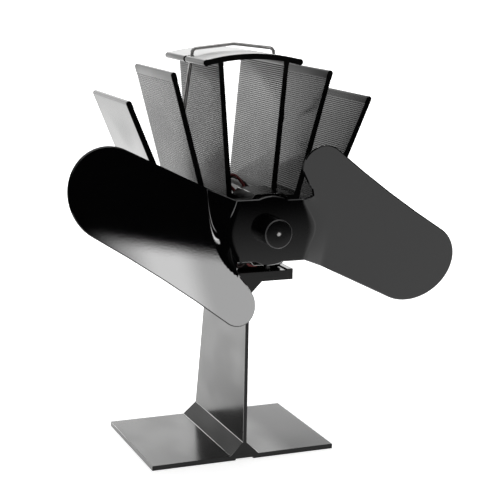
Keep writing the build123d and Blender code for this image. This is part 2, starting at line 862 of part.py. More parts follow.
with BuildPart() as spring_washers:
    for x, y in clamp_places():
        with BuildSketch(facing(y)):
            with BuildLine():
                Polyline(
                    (x + screw_radius + running_gap, washer_z + spring_washer_rise),
                    (x + screw_head_radius, washer_z),
                    (x + screw_head_radius, washer_z + spring_washer_height),
                    (x + screw_radius + running_gap, clamp_seat_z - bush_flange),
                    close=True,
                )
            make_face()
        revolve(axis=Axis((x, y, 0), (0, 0, 1)))
spring_washers.part.label = "spring_washers"
export_step(spring_washers.part, "parts/spring_washers.step")

housing_run = housing_wall + housing_screw_thread - screw_end_gap
fixings = [
    pan_screw(
        Plane(origin=(x, sink_y - housing_wall, shaft_height + z), z_dir=(0, 1, 0)), housing_run
    )
    for x, z in housing_screw_places()
]

with BuildPart() as housing_screws:
    add(fixings)
housing_screws.part.label = "housing_screws"
export_step(housing_screws.part, "parts/housing_screws.step")


# Leads: out of the generator, up the hole and the groove, in a loop over the block, to the motor.
# Each place is to the right of the shaft, behind the foot's front and above the heat sink's bottom.
lead_z = pellet_z + pellet_height / 2 - sink_z
terminal_y = can_back_y + terminal_length - foot_y
terminal_z = shaft_height + terminal_rise - sink_z

red_route = [
    (6.5, module_y - seal_size / 2 - foot_y, lead_z),
    (6.5, 4.0, lead_z),
    (0.95, 4.0, lead_z),
    (0.95, 4.0, 27.0),
    (-4.8, 4.8, 34.6),
    (-9.8, 5.2, 39.6),
    (-9.2, 5.0, 44.6),
    (-5.0, 4.6, 43.2),
    (-1.0, 3.6, 37.2),
    (-terminal_x, 2.6, terminal_z),
    (-terminal_x, terminal_y, terminal_z),
]
black_route = [
    (-6.5, module_y - seal_size / 2 - foot_y, lead_z),
    (-6.5, 4.0, lead_z),
    (-0.95, 4.0, lead_z),
    (-0.95, 4.0, 25.0),
    (-4.6, 8.0, 34.6),
    (-8.6, 8.2, 39.0),
    (-7.8, 7.6, 43.4),
    (-3.6, 6.6, 41.8),
    (1.4, 5.0, 37.4),
    (terminal_x, 3.0, terminal_z),
    (terminal_x, terminal_y, terminal_z),
]


def bend_radii(points):
    """Largest radius that the two runs at each corner of a route leave room for."""
    radii = []
    for before, here, after in zip(points, points[1:], points[2:]):
        first, second = here - before, after - here
        shorter = min(first.length, second.length)
        radii.append(shorter * bend_share / tan(radians(first.get_angle(second)) / 2))
    return radii


def lead(route):
    """One insulated wire along its route."""
    points = [Vector(x, foot_y + y, sink_z + z) for x, y, z in route]
    with BuildPart() as made:
        with BuildLine():
            path = FilletPolyline(*points, radius=bend_radii(points))
        with BuildSketch(Plane(origin=path @ 0, z_dir=path % 0)):
            Circle(lead_radius)
        sweep()
    return made


red_lead = lead(red_route)
red_lead.part.label = "red_lead"
export_step(red_lead.part, "parts/red_lead.step")

black_lead = lead(black_route)
black_lead.part.label = "black_lead"
export_step(black_lead.part, "parts/black_lead.step")
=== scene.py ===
import json
from math import cos, pi, radians, sin, tan

import bmesh
import bpy
from bpy.props import FloatProperty, FloatVectorProperty, PointerProperty
from bpy.types import Operator, Panel, PropertyGroup
from mathutils import Matrix, Vector

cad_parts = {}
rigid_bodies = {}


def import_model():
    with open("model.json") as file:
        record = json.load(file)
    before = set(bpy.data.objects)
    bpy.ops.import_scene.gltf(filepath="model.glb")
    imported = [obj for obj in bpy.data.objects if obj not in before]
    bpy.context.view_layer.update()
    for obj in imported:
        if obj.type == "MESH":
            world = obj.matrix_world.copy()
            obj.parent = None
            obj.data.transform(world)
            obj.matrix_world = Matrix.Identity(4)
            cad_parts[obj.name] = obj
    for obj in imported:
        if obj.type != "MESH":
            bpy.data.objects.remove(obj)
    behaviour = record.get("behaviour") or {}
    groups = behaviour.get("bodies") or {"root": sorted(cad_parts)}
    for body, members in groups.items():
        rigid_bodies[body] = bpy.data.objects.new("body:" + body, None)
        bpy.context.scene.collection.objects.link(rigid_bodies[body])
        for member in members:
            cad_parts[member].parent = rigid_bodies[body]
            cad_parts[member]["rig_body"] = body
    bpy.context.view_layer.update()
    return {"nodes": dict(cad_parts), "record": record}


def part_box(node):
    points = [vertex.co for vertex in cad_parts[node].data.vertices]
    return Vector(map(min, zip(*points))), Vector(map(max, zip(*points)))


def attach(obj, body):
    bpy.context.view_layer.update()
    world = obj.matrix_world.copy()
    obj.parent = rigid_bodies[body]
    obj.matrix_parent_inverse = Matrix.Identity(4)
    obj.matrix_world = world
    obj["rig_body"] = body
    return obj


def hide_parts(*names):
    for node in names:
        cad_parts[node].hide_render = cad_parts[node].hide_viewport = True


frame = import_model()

bl_info = {
    "name": "Stove fan",
    "version": (1, 0, 0),
    "blender": (4, 5, 0),
    "location": "View3D > Sidebar > Stove fan",
    "description": "Pieces, finishes and studio of a heat-powered stove fan",
    "category": "Object",
}

MM = 0.001

# Places taken from the frame: X runs right, Y to the back and Z up
FOOT_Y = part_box("stand")[0].y
SINK_LOW, SINK_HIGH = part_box("heat_sink")
HUB_LOW, HUB_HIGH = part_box("fan_hub")
SHAFT_LOW, SHAFT_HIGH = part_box("motor_shaft")
SHAFT_Z = (HUB_LOW.z + HUB_HIGH.z) / 2

# Front of the blade's flat centre, which stands in front of the foot
BLADE_REACH = 28.0 * MM
BLADE_Y = FOOT_Y - BLADE_REACH

# Two bends of each lobe: three places on each, in shares of the flat centre's radius
INNER_BEND = ((1.01, 0.87), (1.2, 0.06), (1.06, -0.92))
OUTER_BEND = ((1.13, 1.0), (1.68, 0.2), (1.76, -1.17))

# Strip of each lobe in which the bends are rounded, in shares of their first and middle places
ROUNDED_FROM, ROUNDED_TO = 0.6, 1.35

# Cuts across the blade in millimetres, as first place, step and count: fine over the bends
BEND_CUTS = (12.0, 0.45, 54)
LOBE_CUTS = (37.0, 5.0, 13)
LEVEL_CUTS = (-41.6, 1.6, 53)

# Meshes from the frame: how near points are joined, and bends too slight to keep
WELD = 0.002 * MM
FLAT_BEND = radians(0.6)
FLAT_SHEET_BEND = radians(1.0)

# Faces of the sheet whose normals look this far to the front are its front
FRONT_NORMAL = -0.3

# Heat sink: the bend at a rib's crest, and how near to an end an edge counts as at it
RIB_BEND = radians(45.0)
AT_END = 0.01 * MM

# Shaft's end: how far it is set back, and the mark of the lathe's centre in it
SHAFT_SET_BACK = 0.05 * MM
CENTRE_MARK_RADIUS = 0.35 * MM
CENTRE_MARK_DEPTH = 0.5 * MM

# Segments round the turned pieces
HUB_SEGMENTS = 72
SHAFT_SEGMENTS = 40

# In the groups below, two numbers are where a change starts and where it ends. Three numbers
# are a place, how near to it the change is whole, and how far from it there is none.

# Where the extrusions' painted shade and the top plate's painted sheen change, by place
ROOT_HEIGHTS = (139.0 * MM, 144.0 * MM)
PLATE_HEIGHTS = (190.0 * MM, 200.0 * MM)
RIGHT_FINS = (14.0 * MM, 30.0 * MM)
OUTER_FIN = (45.0 * MM, 58.0 * MM)
FIN_DEPTHS = (SINK_LOW.y, 30.0 * MM)

# How dark the painted shade at the fins' roots and on the right-hand fins is, and how much less
# at the outer fin and towards the back
ROOT_SHADE = 0.75
RIGHT_SHADE, OUTER_LIFT, BACK_LIFT = 0.97, 0.5, 0.31

# Where the finishes change, by the way that a face looks: ends, tops and the hub's front edge. Tops
# carry painted shade between the fins and painted sheen on the top plate; the hub's edge a painted
# highlight
SAWN_FACING = (0.80, 0.95)
UPWARD_FACING = (0.75, 0.95)
RIM_SIDE, RIM_FRONT = (0.1, 0.5), (0.85, 0.98)

# Parts of a noise, or of the ribs' height, that show as clouds, saw marks, dust and crests. The
# crests carry a painted highlight, and the ribs' valleys painted shade
CLOUDS = (0.30, 0.70)
SAW_MARKS = (0.45, 0.75)
DUST = (0.74, 0.80)
RIB_CRESTS = (0.1, 0.75)
SAW_TURN = radians(38.0)

# Floor: where its glow rises, the dim part at the back left and the bright strip in front
GLOW_RISE = (0.0, 0.25)
DIM_BEHIND = (0.42, 0.55)
DIM_LEFT = (-0.30, -0.05)
STRIP = (-0.33, 0.01, 0.03)
GLOW_NEAR, GLOW_FAR, GLOW_STRIP = 1.0, 1.85, 1.7
DIM_SHARE = 0.9

# Floor in front, in shares of how far off it has faded out
FLOOR_FADE = (-1.0, -0.3)
FLOOR_REACH = 1.2

# Lights round the fan, by how far a direction goes right, back or up
BACKDROP_RIGHT = (-0.40, 0.0)
BACKDROP_BACK = (-0.15, 0.35)
BACKDROP_TOP = (0.385, 0.45)
LOW_LIGHT_TOP = (0.10, 0.20)
LOW_LIGHT_RIGHT = (-0.25, 0.0)
CEILING = (0.62, 0.9)
ROOM_IN_FRONT = (-0.6, -0.5)

# Window at the front right, whose sides and top slant
WINDOW_SILL = (0.290, 0.306)
WINDOW_TOP_SLANT, WINDOW_TOP = 0.45, (0.587, 0.599)
WINDOW_LEFT_SLANT, WINDOW_LEFT = 0.589, (-0.030, 0.012)
WINDOW_RIGHT_SLANT, WINDOW_RIGHT = 0.9, (-0.10, -0.03)
WINDOW_NEAR = (-0.812, -0.797)
STREAK_SLANT, STREAK = 0.632, (0.0, 0.008, 0.032)

# Two narrow lights in front: a tall lamp on the right and a gap in the middle, low down
LAMP_ACROSS = (0.35, 0.008, 0.03)
LAMP_FOOT, LAMP_TOP = (0.30, 0.37), (0.38, 0.44)
LAMP_LEVEL = 6.0
GAP_ACROSS = (0.0, 0.02, 0.06)
GAP_HEIGHT = (-0.07, 0.02, 0.05)
GAP_LEVEL = 3.0

# Brightness of the backdrop where the camera sees it
SEEN_LEVEL = 0.985


def length(name, description, default, least=0.0):
    """Size in metres that a user may change."""
    return FloatProperty(
        name=name, description=description, default=default, min=least, unit="LENGTH", precision=5
    )


def angle(name, description, degrees):
    """Angle that a user may change."""
    return FloatProperty(
        name=name, description=description, default=radians(degrees), unit="ROTATION"
    )


def share(name, description, default):
    """Number from 0 to 1 that a user may change."""
    return FloatProperty(name=name, description=description, default=default, min=0.0, max=1.0)


def colour(name, description, default):
    """Colour that a user may change."""
    return FloatVectorProperty(
        name=name, description=description, default=default, subtype="COLOR", min=0.0, max=1.0
    )


def strength(name, description, default):
    """Strength of a light that a user may change."""
    return FloatProperty(name=name, description=description, default=default, min=0.0)


class FanSizes(PropertyGroup):
    """Sizes of the pieces that are shaped here."""

    set_back: length("Set back", "How far the lobes' plane lies behind the centre", 2.5 * MM)
    sweep: angle("Sweep", "Angle at which a lobe leans forward towards its nose", 6.0)
    pitch: angle("Pitch", "Angle at which a lobe leans forward towards its upper edge", 18.6)
    centre: length("Centre", "Radius of the blade's flat centre", 17.0 * MM)
    crease: length("Crease", "How far each bend of the blade is rounded off", 1.3 * MM)
    sheet: length("Sheet", "Thickness of the blade's sheet", 1.0 * MM)
    rim: length("Rim", "Width of the bevel round the blade's edge", 0.5 * MM)
    hub_edge: length("Hub edge", "Rounding of the hub's front edge", 0.9 * MM)
    hub_bore: length("Hub bore", "Radius of the hole that the shaft's end shows in", 1.02 * MM)
    hub_chamfer: length("Bore chamfer", "Width of the chamfer at the hub's hole", 0.25 * MM)
    spigot: length("Hub spigot", "Radius of the hub's narrow end behind the blade", 3.6 * MM)
    shaft_chamfer: length("Shaft chamfer", "Width of the chamfer at the shaft's ends", 0.3 * MM)
    edge: length("Broken edge", "How far the sharp edges of the metal pieces are broken", 0.18 * MM)
    housing_edge: length("Housing edge", "How far the housing's edges are rounded off", 0.25 * MM)
    wire_edge: length("Thin edge", "How far the edges of the small pieces are broken", 0.08 * MM)


class FanColours(PropertyGroup):
    """Colours and gloss of the finishes."""

    satin: colour("Satin metal", "Sheen of the anodised faces", (0.15, 0.15, 0.148))
    # Painted sheen: a lighter colour that stands for the light on the heat sink's top plate
    painted_top_sheen: colour("Painted top sheen", "Sheen of the heat sink's top plate", (0.44, 0.44, 0.435))
    cut: colour("Cut ends", "Sawn ends of the extrusions", (0.001, 0.001, 0.001))
    paint: colour("Blade paint", "Gloss paint of the blade", (0.0016, 0.0016, 0.0018))
    # Painted highlight on the hub's rounded front edge
    rim: colour("Rim highlight", "Painted highlight on the hub's front edge", (0.07, 0.07, 0.07))
    steel: colour("Steel", "Bright wire and shaft", (0.90, 0.89, 0.88))
    red: colour("Red lead", "Insulation of the red lead", (0.16, 0.03, 0.03))
    dark: colour("Black lead", "Insulation of the black lead", (0.02, 0.008, 0.008))
    satin_gloss: share("Satin roughness", "Roughness of the anodised faces", 0.21)
    paint_gloss: share("Paint roughness", "Roughness of the blade's paint", 0.02)


class StudioSizes(PropertyGroup):
    """Camera, floor and lights."""

    lens: FloatProperty(name="Lens", description="Focal length in mm", default=98.81, min=1.0)
    azimuth: angle("Azimuth", "Turn of the camera round the fan", -22.571)
    elevation: angle("Elevation", "Height of the camera as an angle", 11.915)
    roll: angle("Roll", "Turn of the camera about its own axis", 1.174)
    distance: length("Distance", "From the camera to the point looked at", 685.915 * MM)
    aim_x: length("Aim across", "Point looked at, across", 0.673 * MM, -1.0)
    aim_z: length("Aim height", "Point looked at, above the floor", 110.498 * MM)
    floor_front: length("Floor in front", "Where the floor has faded out in front", 0.80)
    floor_back: length("Floor behind", "How far the floor runs on behind the fan", 14.0)
    floor_side: length("Floor beside", "How far the floor runs on each side of the fan", 6.0)
    floor_glow: strength("Floor glow", "Light that comes up through the floor", 0.75)
    backdrop: strength("Backdrop", "Brightness of the backdrop on the right", 1.9)
    backdrop_left: strength("Backdrop left", "Brightness of the backdrop on the left", 0.35)
    low_left: strength("Low left", "Light low down at the back on the left", 1.25)
    ceiling: strength("Ceiling", "Brightness of the soft light overhead", 0.8)
    window: strength("Window", "Brightness of the window at the front right", 8.8)
    streak: strength("Streak", "Extra brightness of a narrow streak in the window", 5.6)
    softbox: strength("Softbox", "Power of the light overhead", 4.0)
    softbox_size: length("Softbox size", "Width of the light overhead", 1.2)
    softbox_height: length("Softbox height", "Height of the light overhead", 1.6)


class Level:
    """A number that changes over a surface. Sums on it add Math nodes."""

    def __init__(self, nodes, socket):
        self.nodes = nodes
        self.socket = socket

    def math(self, operation, first, second):
        made = self.nodes.add("ShaderNodeMath", {"operation": operation}, {0: first, 1: second})
        return Level(self.nodes, made.outputs[0])

    def __add__(self, other):
        return self.math("ADD", self, other)

    def __radd__(self, other):
        return self.math("ADD", other, self)

    def __sub__(self, other):
        return self.math("SUBTRACT", self, other)

    def __rsub__(self, other):
        return self.math("SUBTRACT", other, self)

    def __mul__(self, other):
        return self.math("MULTIPLY", self, other)

    def __rmul__(self, other):
        return self.math("MULTIPLY", other, self)

    def __abs__(self):
        return self.math("ABSOLUTE", self, 0.0)

    def or_more(self, other):
        """The larger of two levels."""
        return self.math("MAXIMUM", self, other)

    def step(self, low, high):
        """Nought below low, one above high, and smooth between them."""
        made = self.nodes.add(
            "ShaderNodeMapRange",
            {"interpolation_type": "SMOOTHSTEP"},
            {"Value": self, "From Min": low, "From Max": high},
        )
        return Level(self.nodes, made.outputs["Result"])

    def fall(self, low, high):
        """One below low, nought above high, and smooth between them."""
        return 1.0 - self.step(low, high)

    def near(self, place, full, gone):
        """One as near to a place as full, and nought as far from it as gone."""
        return abs(self - place).fall(full, gone)

    def blend(self, other, share):
        """A blend with that share of another level."""
        return self * (1.0 - share) + other * share

    def swing(self, amount):
        """How far a noise lies from its middle, times an amount."""
        return (self - 0.5) * amount


class Nodes:
    """Adds nodes to one tree."""

    def __init__(self, tree):
        self.tree = tree
        tree.nodes.clear()

    def add(self, kind, settings=None, inputs=None):
        """A node of that kind, its settings first, then the values or links of its sockets."""
        made = self.tree.nodes.new(kind)
        for name, value in (settings or {}).items():
            setattr(made, name, value)
        for name, value in (inputs or {}).items():
            self.give(made.inputs[name], value)
        return made

    def give(self, socket, value):
        """Sets or links a socket."""
        if isinstance(value, Level):
            value = value.socket
        if isinstance(value, bpy.types.NodeSocket):
            self.tree.links.new(value, socket)
        else:
            socket.default_value = value


class Finish(Nodes):
    """One procedural material on Object coordinates."""

    def __init__(self, name, **constants):
        self.material = bpy.data.materials.new(name)
        self.material.use_nodes = True
        super().__init__(self.material.node_tree)
        inputs = {key.replace("_", " "): value for key, value in constants.items()}
        self.shader = self.add("ShaderNodeBsdfPrincipled", inputs=inputs)
        self.add("ShaderNodeOutputMaterial", inputs={"Surface": self.shader.outputs["BSDF"]})
        self.coordinates = self.add("ShaderNodeTexCoord")

    def noise(self, size, stretch=(1.0, 1.0, 1.0), turn=(0.0, 0.0, 0.0), detail=2.0):
        """Soft noise whose grain has that size in millimetres, stretched and turned."""
        placed = self.add(
            "ShaderNodeMapping",
            {"vector_type": "POINT"},
            {
                "Vector": self.coordinates.outputs["Object"],
                "Rotation": turn,
                "Scale": [value / MM for value in stretch],
            },
        )
        made = self.add(
            "ShaderNodeTexNoise",
            inputs={"Vector": placed.outputs["Vector"], "Scale": 1.0 / size, "Detail": detail},
        )
        return Level(self, made.outputs["Fac"])

    def part(self, vector, axis):
        """One part of a vector."""
        made = self.add("ShaderNodeSeparateXYZ", inputs={0: vector})
        return Level(self, made.outputs[axis])

    def facing(self, axis):
        """How far a face looks along an axis of the piece, from -1 to 1."""
        return self.part(self.coordinates.outputs["Normal"], axis)

    def place(self, axis):
        """Place along an axis of the piece."""
        return self.part(self.coordinates.outputs["Object"], axis)

    def stored(self, name):
        """Number kept in the mesh."""
        made = self.add("ShaderNodeAttribute", {"attribute_name": name})
        return Level(self, made.outputs["Fac"])

    def mix(self, level, first, second):
        """Colour between two colours, each a colour or another mix."""
        first, second = [
            value if isinstance(value, bpy.types.NodeSocket) else (*value, 1.0)
            for value in (first, second)
        ]
        made = self.add(
            "ShaderNodeMix", {"data_type": "RGBA"}, {"Factor": level, 6: first, 7: second}
        )
        return made.outputs[2]

    def paint(self, **levels):
        """Links levels or colours to the shader's sockets."""
        for name, value in levels.items():
            self.give(self.shader.inputs[name.replace("_", " ")], value)

    def relief(self, height, depth):
        """Bumps of that depth in millimetres."""
        made = self.add("ShaderNodeBump", inputs={"Height": height, "Distance": depth * MM})
        self.paint(Normal=made.outputs["Normal"])


def tinted(tint, share):
    """A colour made lighter or darker."""
    return [min(1.0, value * share) for value in tint]


def tints(tint, *shares):
    """Several shades of one colour."""
    return [tinted(tint, share) for share in shares]


def anodised_black(colours):
    """Satin anodised extrusion with sawn ends, a painted sheen on top and painted shade between the
    ribs.
    """
    finish = Finish("anodised_black", IOR=1.5, Specular_IOR_Level=0.2)
    lines = finish.noise(size=0.35, stretch=(1.0, 0.012, 1.0), detail=3.0)
    clouds = finish.noise(size=22.0, stretch=(1.0, 0.6, 1.0), detail=1.0)
    saw = finish.noise(size=0.5, stretch=(1.0, 1.0, 0.1), turn=(0.0, SAW_TURN, 0.0), detail=3.0)
    right, back, height = [finish.place(axis) for axis in "XYZ"]

    # Masks: sawn ends, the stand, the top plate, the fins' roots and the right-hand fins
    ends = abs(finish.facing("Y")).step(*SAWN_FACING)
    upward = finish.facing("Z").step(*UPWARD_FACING)
    on_stand = height.fall(SINK_LOW.z - MM, SINK_LOW.z)
    on_top = height.step(*PLATE_HEIGHTS)
    # Painted shade at the fins' roots and on the block's top between the fins
    root = height.fall(*ROOT_HEIGHTS) * ROOT_SHADE
    between = (1.0 - on_stand) * (1.0 - on_top) * (upward + root)
    # Painted shade on the right-hand fins, darkest at the front
    deep = right.step(*RIGHT_FINS) * (1.0 - right.step(*OUTER_FIN) * OUTER_LIFT)
    painted_fin_shade = deep * (RIGHT_SHADE - back.step(*FIN_DEPTHS) * BACK_LIFT)

    # Painted shade between ribs, at roots and on right-hand fins; painted highlights on crests and
    # stand edges
    valley, crest, cloudy, edge, shaded, dim = tints(colours.satin, 0.08, 1.3, 0.45, 2.5, 0.1, 0.05)
    # Painted shade in the ribs' valleys and a painted highlight on their crests
    ribs = finish.mix((0.5 + finish.stored("raised") * 0.5).step(*RIB_CRESTS), valley, crest)
    satin = finish.mix(clouds.step(*CLOUDS).blend(lines, 0.2), cloudy, ribs)
    # Painted highlight on the stand's broken edges
    satin = finish.mix(finish.stored("strip") * on_stand, satin, edge)
    # Painted shade between the fins and at the roots, then on the right-hand fins
    satin = finish.mix(between, satin, shaded)
    satin = finish.mix(painted_fin_shade, satin, dim)
    # Painted sheen on the top plate's upper faces
    with_painted_sheen = finish.mix(on_top * upward, satin, colours.painted_top_sheen)

    # Saw marks show on the ends; on the stand the ends are paler, a painted reflection of the floor
    marks, painted_stand_end_light = tints(colours.cut, 4.0, 16.0)
    sawn = finish.mix(saw.step(*SAW_MARKS), colours.cut, marks)
    sawn = finish.mix(on_stand, sawn, painted_stand_end_light)
    rough = colours.satin_gloss + clouds.swing(0.08) + lines.swing(0.04) + on_top * 0.12
    finish.paint(
        Base_Color=finish.mix(ends, with_painted_sheen, sawn),
        Metallic=1.0 - ends,
        Roughness=rough - ends * 0.03,
    )
    finish.relief(lines * (1.0 - ends) + saw * ends * 8.0, depth=0.002)
    return finish.material


def housing_black(colours):
    """Dark anodised tube with a painted highlight on its broken edges."""
    finish = Finish("housing_black", IOR=1.5, Specular_IOR_Level=0.2, Metallic=1.0)
    grain = finish.noise(size=0.3, detail=3.0)
    clouds = finish.noise(size=4.0)
    deep, cloudy, edge = tints(colours.satin, 0.02, 0.12, 2.4)
    dark = finish.mix(clouds.blend(grain, 0.5), deep, cloudy)
    # Painted highlight on the broken edges
    finish.paint(
        Base_Color=finish.mix(finish.stored("strip") * 0.8, dark, edge),
        Roughness=colours.satin_gloss + grain.swing(0.1),
    )
    finish.relief(grain, depth=0.004)
    return finish.material


def blade_black(colours):
    """Gloss paint with a slight orange peel."""
    finish = Finish("blade_black", IOR=1.5)
    peel = finish.noise(size=0.6, stretch=(0.7, 1.0, 0.7), detail=1.0)
    haze = finish.noise(size=30.0)
    dust = finish.noise(size=0.45, detail=1.0).step(*DUST)
    finish.paint(
        Base_Color=finish.mix(haze.blend(dust, 0.2), colours.paint, tinted(colours.paint, 1.5)),
        Roughness=colours.paint_gloss + haze.swing(0.01) + dust * 0.05,
    )
    finish.relief(peel, depth=0.0016)
    return finish.material


def gloss_black(colours):
    """Turned hub with gloss black paint and a painted highlight on its rounded front edge."""
    finish = Finish("gloss_black", IOR=1.5, Specular_IOR_Level=0.25)
    grain = finish.noise(size=0.3)
    haze = finish.noise(size=6.0)
    # Painted highlight on the rounded front edge
    forward = 0.0 - finish.facing("Y")
    rim = forward.step(*RIM_SIDE) * forward.fall(*RIM_FRONT)
    black = finish.mix(haze, colours.paint, tinted(colours.paint, 1.6))
    finish.paint(
        Base_Color=finish.mix(rim, black, colours.rim),
        Roughness=0.2 + haze.swing(0.08),
    )
    finish.relief(grain, depth=0.004)
    return finish.material


def metal(name, tint, roughness, depth=0.006, shine=1.0):
    """Bare metal with fine drawn lines and a little tarnish."""
    finish = Finish(name, Metallic=shine)
    lines = finish.noise(size=0.12, stretch=(1.0, 0.05, 1.0))
    stain = finish.noise(size=3.0)
    finish.paint(
        Base_Color=finish.mix(stain.blend(lines, 0.4), tinted(tint, 0.72), tint),
        Roughness=roughness + stain.swing(0.12) + lines.swing(0.08),
    )
    finish.relief(lines, depth)
    return finish.material


def moulded(name, tint, roughness):
    """Plastic, rubber or ceramic with a fine grain."""
    finish = Finish(name, IOR=1.48)
    grain = finish.noise(size=0.3, detail=3.0)
    cloud = finish.noise(size=5.0)
    finish.paint(
        Base_Color=finish.mix(cloud.blend(grain, 0.4), tint, tinted(tint, 1.35)),
        Roughness=roughness + cloud.swing(0.12) + grain.swing(0.08),
    )
    finish.relief(grain, depth=0.01)
    return finish.material


def finish_named(name, colours):
    """The finish of a material slot."""
    painted = {
        "anodised_black": anodised_black,
        "housing_black": housing_black,
        "blade_black": blade_black,
        "gloss_black": gloss_black,
    }
    if name in painted:
        return painted[name](colours)
    # Tint and roughness, then the depth of the lines and the share of metal where they differ
    metals = {
        "polished_steel": (colours.steel, 0.3, 0.0005, 0.6),
        "plated_steel": ((0.62, 0.60, 0.57), 0.28),
        "black_steel": ((0.05, 0.05, 0.05), 0.34),
        "bronze": ((0.42, 0.24, 0.09), 0.34),
        "copper_wire": ((0.60, 0.24, 0.10), 0.26),
    }
    if name in metals:
        return metal(name, *metals[name])
    # Tint and roughness
    plain = {
        "magnet_grey": ((0.06, 0.06, 0.065), 0.55),
        "white_ceramic": ((0.70, 0.69, 0.66), 0.45),
        "graphite": ((0.03, 0.03, 0.032), 0.5),
        "black_rubber": ((0.012, 0.012, 0.012), 0.6),
        "white_plastic": ((0.60, 0.59, 0.55), 0.42),
        "black_plastic": ((0.014, 0.014, 0.014), 0.42),
        "red_insulation": (colours.red, 0.38),
        "black_insulation": (colours.dark, 0.38),
    }
    return moulded(name, *plain[name])


def material_slots():
    """The record's material slot of each CAD node."""
    return {entry["node"]: entry["material_slot"] for entry in frame["record"]["subparts"]}


finishes = {}


def dress(piece, slot, colours, finish=None):
    """Gives a piece one finish, by default the one that its slot is named after."""
    finish = finish or slot
    if finish not in finishes:
        finishes[finish] = finish_named(finish, colours)
    piece.data.materials.clear()
    piece.data.materials.append(finishes[finish])


def joined_copy(node):
    """A mesh to edit from a CAD node, with its loose triangles joined."""
    bm = bmesh.new()
    bm.from_mesh(frame["nodes"][node].data)
    bmesh.ops.remove_doubles(bm, verts=bm.verts, dist=WELD)
    return bm


def merge_faces(bm, bend):
    """Merges faces that meet at less than an angle."""
    bmesh.ops.dissolve_limit(
        bm, angle_limit=bend, verts=bm.verts, edges=bm.edges, use_dissolve_boundaries=False
    )


def merged_copy(node):
    """The same, with its triangles merged into whole flat faces."""
    bm = joined_copy(node)
    merge_faces(bm, FLAT_BEND)
    return bm


def broken(bm, width, segments=2, wanted=None, least_angle=25.0):
    """Breaks the sharp edges of a mesh, and keeps which faces the breaks are."""
    strips = bm.faces.layers.int.new("strip")
    sharp = [
        edge
        for edge in bm.edges
        if len(edge.link_faces) == 2
        and edge.calc_face_angle(0.0) > radians(least_angle)
        and edge.calc_length() > width * 2
        and (wanted is None or wanted(edge))
    ]
    made = bmesh.ops.bevel(
        bm,
        geom=sharp,
        offset=width,
        offset_type="OFFSET",
        affect="EDGES",
        segments=segments,
        profile=0.5,
        material=-1,
        clamp_overlap=True,
    )
    for face in made["faces"]:
        face[strips] = 1


def shade(bm, smooth):
    """Smooth shading, but sharp at large angles and along the sides of broken edges."""
    strips = bm.faces.layers.int.get("strip")
    for face in bm.faces:
        face.smooth = True
    for edge in bm.edges:
        sides = {face[strips] for face in edge.link_faces} if strips else ()
        edge.smooth = len(sides) < 2 and edge.calc_face_angle(0.0) < radians(smooth)


def piece_from(bm, name, body, smooth=30.0):
    """Makes a mesh a piece that rides on a body, smooth where its faces meet at a small angle."""
    shade(bm, smooth)
    mesh = bpy.data.meshes.new(name)
    bm.to_mesh(mesh)
    bm.free()
    piece = bpy.data.objects.new(name, mesh)
    bpy.context.scene.collection.objects.link(piece)
    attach(piece, body)
    return piece


def body_of(node):
    """Name of the CAD body that a node belongs to."""
    return frame["nodes"][node]["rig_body"]


def finished(bm, node, colours, smooth=30.0, finish=None):
    """Makes an edited copy of a CAD node a piece that stands for it."""
    piece = piece_from(bm, node + "_finished", body_of(node), smooth)
    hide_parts(node)
    dress(piece, material_slots()[node], colours, finish)


def softened(node, colours, width, finish=None, **choices):
    """Copy of a CAD node with broken edges, which stands for it."""
    bm = merged_copy(node)
    broken(bm, width, **choices)
    finished(bm, node, colours, finish=finish)


class BladeShape:
    """Depth of the blade's front face about the shaft, in millimetres."""

    def __init__(self, sizes):
        radius = sizes.centre / MM
        self.set_back = sizes.set_back / MM
        self.slope_x = -tan(sizes.sweep)
        self.slope_z = -tan(sizes.pitch)
        self.crease = sizes.crease / MM
        self.inner = [(radius * x, radius * z) for x, z in INNER_BEND]
        self.outer = [(radius * x, radius * z) for x, z in OUTER_BEND]

    def along(self, points, u):
        """Point of the smooth curve through three points, at a share of its length."""
        shares = (2 * (u - 0.5) * (u - 1), -4 * u * (u - 1), 2 * u * (u - 0.5))
        return [sum(part * point[i] for part, point in zip(shares, points)) for i in (0, 1)]

    def pitched(self, x, z):
        """Depth of the pitched lobe."""
        return self.set_back + self.slope_x * x + self.slope_z * z

    def folded(self, x, z):
        """Depth with both bends sharp, on the right-hand half."""
        low, high = 0.0, 1.0
        halvings = 18
        for _ in range(halvings):
            u = (low + high) / 2
            near, far = self.along(self.inner, u), self.along(self.outer, u)
            side = (far[0] - near[0]) * (z - near[1]) - (far[1] - near[1]) * (x - near[0])
            if side > 0:
                high = u
            else:
                low = u
        run = (far[0] - near[0], far[1] - near[1])
        t = ((x - near[0]) * run[0] + (z - near[1]) * run[1]) / (run[0] ** 2 + run[1] ** 2)
        if t <= 0:
            return 0.0
        if t >= 1:
            return self.pitched(x, z)
        return t * self.pitched(*far)

    def depth(self, x, z):
        """Depth with the bends rounded off, on either half."""
        if x < 0:
            x, z = -x, -z
        if x < self.inner[0][0] * ROUNDED_FROM or x > self.outer[1][0] * ROUNDED_TO:
            return self.folded(x, z)
        shares = (-1.0, -0.6, -0.2, 0.2, 0.6, 1.0)
        return sum(self.folded(x + share * self.crease, z) for share in shares) / len(shares)


def evenly(first, step, count):
    """Even places in millimetres."""
    return [first + step * i for i in range(count)]


def cut_across(bm, places, axis):
    """Cuts every face at the given places along an axis."""
    normal = Vector([1.0 if i == axis else 0.0 for i in range(3)])
    for place in places:
        bmesh.ops.bisect_plane(
            bm,
            geom=bm.verts[:] + bm.edges[:] + bm.faces[:],
            plane_co=normal * place,
            plane_no=normal,
            dist=WELD,
        )


